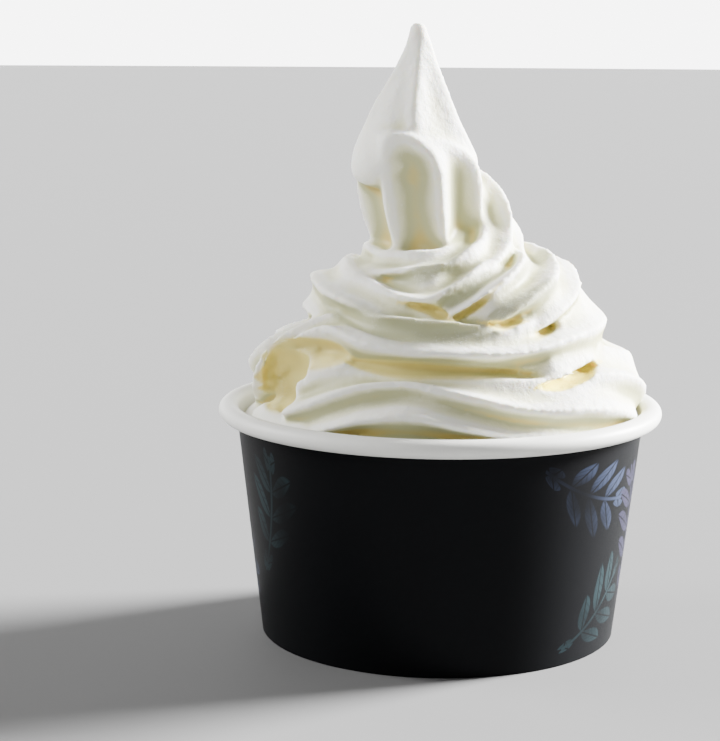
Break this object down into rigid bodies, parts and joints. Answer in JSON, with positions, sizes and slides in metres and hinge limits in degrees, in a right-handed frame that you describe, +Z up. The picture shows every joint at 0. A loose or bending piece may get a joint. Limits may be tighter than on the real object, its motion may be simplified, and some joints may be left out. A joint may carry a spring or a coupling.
{
  "type": "frozen yogurt cup",
  "caption": "Black paper cup with a white rolled rim, filled with a tall fluted swirl of soft frozen yogurt drawn up to a pointed tip.",
  "frame": {"origin": "centre of the foot ring, on the surface that the cup stands on", "axes": "+Z up along the cup's axis; -Y towards the front, where the rope of yogurt starts at the left; +X to the right"},
  "size_m": [0.092, 0.092, 0.1263],
  "materials": {
    "cup_wall": "matt black printed outside, white coated inside and on the rolled rim",
    "cup_base": "matt white coated board",
    "yogurt": "soft frozen yogurt, satin with a fine frosty grain on its ridges"
  },
  "bodies": {
    "root": {"cup_wall": "cup_wall", "cup_base": "cup_base", "yogurt": "yogurt"}
  },
  "joints": []
}
